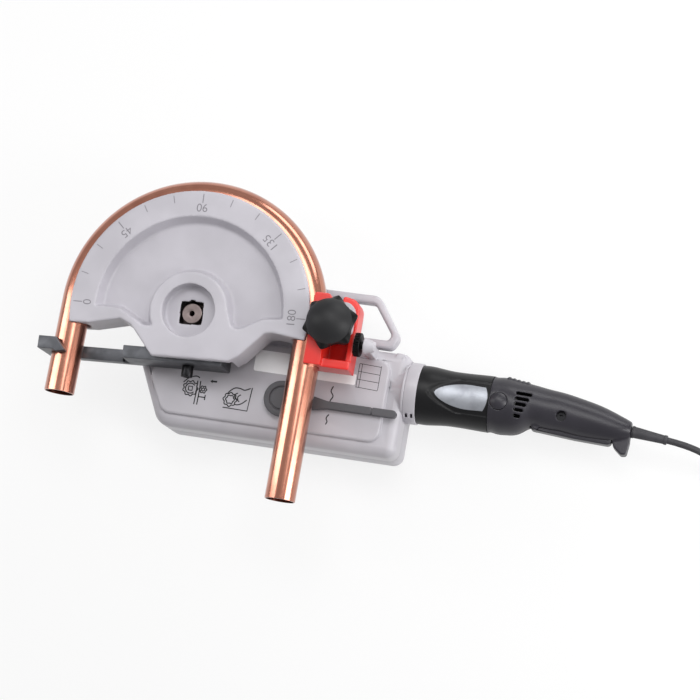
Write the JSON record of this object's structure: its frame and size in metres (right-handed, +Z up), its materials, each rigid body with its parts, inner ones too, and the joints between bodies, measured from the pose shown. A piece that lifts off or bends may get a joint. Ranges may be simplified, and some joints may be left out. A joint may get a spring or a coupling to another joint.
{
  "type": "electric pipe bender",
  "caption": "Portable electric pipe bender: a half-round former on a geared drive unit bends a copper tube against a clamped back former; motor handle with paddle switch.",
  "frame": {"origin": "on the spindle's axis, on the resting face behind the gear housing", "axes": "+X along the gear housing to the motor and handle, +Y away from the open ends of the tube's legs, +Z up along the spindle"},
  "size_m": [1.0069, 0.3782, 0.173],
  "materials": {
    "housing_paint": "silver-grey textured paint on cast aluminium",
    "former_paint": "pale grey paint on cast aluminium",
    "red_paint": "red paint on cast aluminium",
    "lever_coat": "dark grey coat on steel",
    "dark_steel": "blackened milled steel",
    "bright_steel": "turned and ground steel",
    "gear_steel": "cut and hardened steel",
    "black_screw": "black oxide on steel",
    "copper": "drawn copper, satin",
    "winding_copper": "copper and insulation",
    "laminations": "stacked steel sheet",
    "carbon_brass": "brass boxes with carbon inside",
    "knob_plastic": "black moulded plastic, fine grain",
    "grip_plastic": "anthracite moulded plastic, fine grain",
    "switch_plastic": "black moulded plastic",
    "neck_alloy": "silver-grey paint on cast aluminium",
    "fan_plastic": "black moulded plastic",
    "cord_rubber": "matt black cord sheath",
    "foot_rubber": "soft black rubber"
  },
  "bodies": {
    "housing": {"gear_housing_rear": "housing_paint", "gear_housing_front": "housing_paint", "spindle_bearings": "bright_steel", "gear_shaft_bearings": "bright_steel", "layshaft_bearings": "bright_steel", "spindle_seal": "foot_rubber", "carry_handle": "housing_paint", "motor_neck": "neck_alloy", "motor_housing": "grip_plastic", "stator": "laminations", "brush_holders": "carbon_brass", "brush_caps": "switch_plastic", "motor_bearings": "bright_steel", "handle_shell_front": "grip_plastic", "handle_shell_back": "grip_plastic", "switch": "switch_plastic", "paddle_pin": "bright_steel", "handle_screws": "black_screw", "housing_screws": "black_screw", "rubber_feet": "foot_rubber", "strain_relief": "cord_rubber", "cord_free": "cord_rubber", "cord_coil": "cord_rubber", "cord_tail": "cord_rubber", "mains_plug": "cord_rubber"},
    "former": {"spindle": "bright_steel", "final_gear": "gear_steel", "bending_former": "former_paint", "hook_bar": "dark_steel", "hook_screw": "black_screw"},
    "tube": {"copper_tube": "copper"},
    "second_shaft": {"second_pinion_shaft": "gear_steel", "second_gear": "gear_steel"},
    "third_shaft": {"third_pinion_shaft": "gear_steel", "bevel_gear": "gear_steel"},
    "layshaft": {"layshaft": "gear_steel", "first_gear": "gear_steel"},
    "sleeve": {"dog_sleeve": "gear_steel"},
    "armature": {"armature_shaft": "bright_steel", "armature_core": "laminations", "commutator": "winding_copper", "motor_fan": "fan_plastic"},
    "back_former": {"back_former": "red_paint", "clamp_stud": "bright_steel", "clamp_block": "housing_paint", "clamp_collar": "bright_steel"},
    "star_knob": {"star_knob": "knob_plastic"},
    "adjusting_screw": {"adjusting_screw": "knob_plastic"},
    "selector_lever": {"selector_lever": "lever_coat"},
    "shift_rail": {"shift_rail": "bright_steel"},
    "paddle": {"switch_paddle": "grip_plastic"}
  },
  "joints": [
    {"name": "former_turn", "type": "hinge", "parent": "housing", "child": "former", "pos_m": [0, 0, 0], "axis": [0, 0, 1], "range_deg": [-180, 0]},
    {"name": "tube_slide", "type": "slide", "parent": "former", "child": "tube", "axis": [0, 1, 0], "range_m": [0, 0.2]},
    {"name": "second_shaft_spin", "type": "hinge", "parent": "housing", "child": "second_shaft", "pos_m": [0.06, -0.025, 0], "axis": [0, 0, 1], "range_deg": [-1, 601]},
    {"name": "third_shaft_spin", "type": "hinge", "parent": "housing", "child": "third_shaft", "pos_m": [0.11, -0.02542, 0], "axis": [0, 0, 1], "range_deg": [-1901, 1]},
    {"name": "layshaft_spin", "type": "hinge", "parent": "housing", "child": "layshaft", "pos_m": [0, -0.02542, 0.056], "axis": [1, 0, 0], "range_deg": [-5702, 2]},
    {"name": "armature_spin", "type": "hinge", "parent": "housing", "child": "armature", "pos_m": [0, -0.0445, 0.05], "axis": [1, 0, 0], "range_deg": [-8, 22808]},
    {"name": "back_former_slide", "type": "slide", "parent": "housing", "child": "back_former", "axis": [1, 0, 0], "range_m": [0, 0.003]},
    {"name": "knob_turn", "type": "hinge", "parent": "back_former", "child": "star_knob", "pos_m": [0.1685, 0.0055, 0], "axis": [0, 0, 1], "range_deg": [0, 360]},
    {"name": "adjuster_turn", "type": "hinge", "parent": "back_former", "child": "adjusting_screw", "pos_m": [0, -0.0095, 0.118], "axis": [1, 0, 0], "range_deg": [-1, 618]},
    {"name": "selector_turn", "type": "hinge", "parent": "housing", "child": "selector_lever", "pos_m": [0.114, -0.078, 0], "axis": [0, 0, 1], "range_deg": [-18, 18]},
    {"name": "rail_slide", "type": "slide", "parent": "housing", "child": "shift_rail", "axis": [1, 0, 0], "range_m": [-0.0045, 0.0045]},
    {"name": "sleeve_slide", "type": "slide", "parent": "layshaft", "child": "sleeve", "axis": [1, 0, 0], "range_m": [-0.0045, 0.0045]},
    {"name": "paddle_press", "type": "hinge", "parent": "housing", "child": "paddle", "pos_m": [0.403, -0.0635, 0.05], "axis": [0, 0, 1], "range_deg": [0, 3.3], "stiffness_Nm_per_rad": 4, "springref_deg": -3.44}
  ],
  "couplings": [
    {"joint": "second_shaft_spin", "follows": "former_turn", "ratio": -3.3333},
    {"joint": "third_shaft_spin", "follows": "former_turn", "ratio": 10.556},
    {"joint": "layshaft_spin", "follows": "former_turn", "ratio": 31.667},
    {"joint": "armature_spin", "follows": "former_turn", "ratio": -126.67},
    {"joint": "adjuster_turn", "follows": "back_former_slide", "rad_per_m": 3590.4},
    {"joint": "rail_slide", "follows": "selector_turn", "m_per_rad": -0.014},
    {"joint": "sleeve_slide", "follows": "selector_turn", "m_per_rad": -0.014}
  ]
}
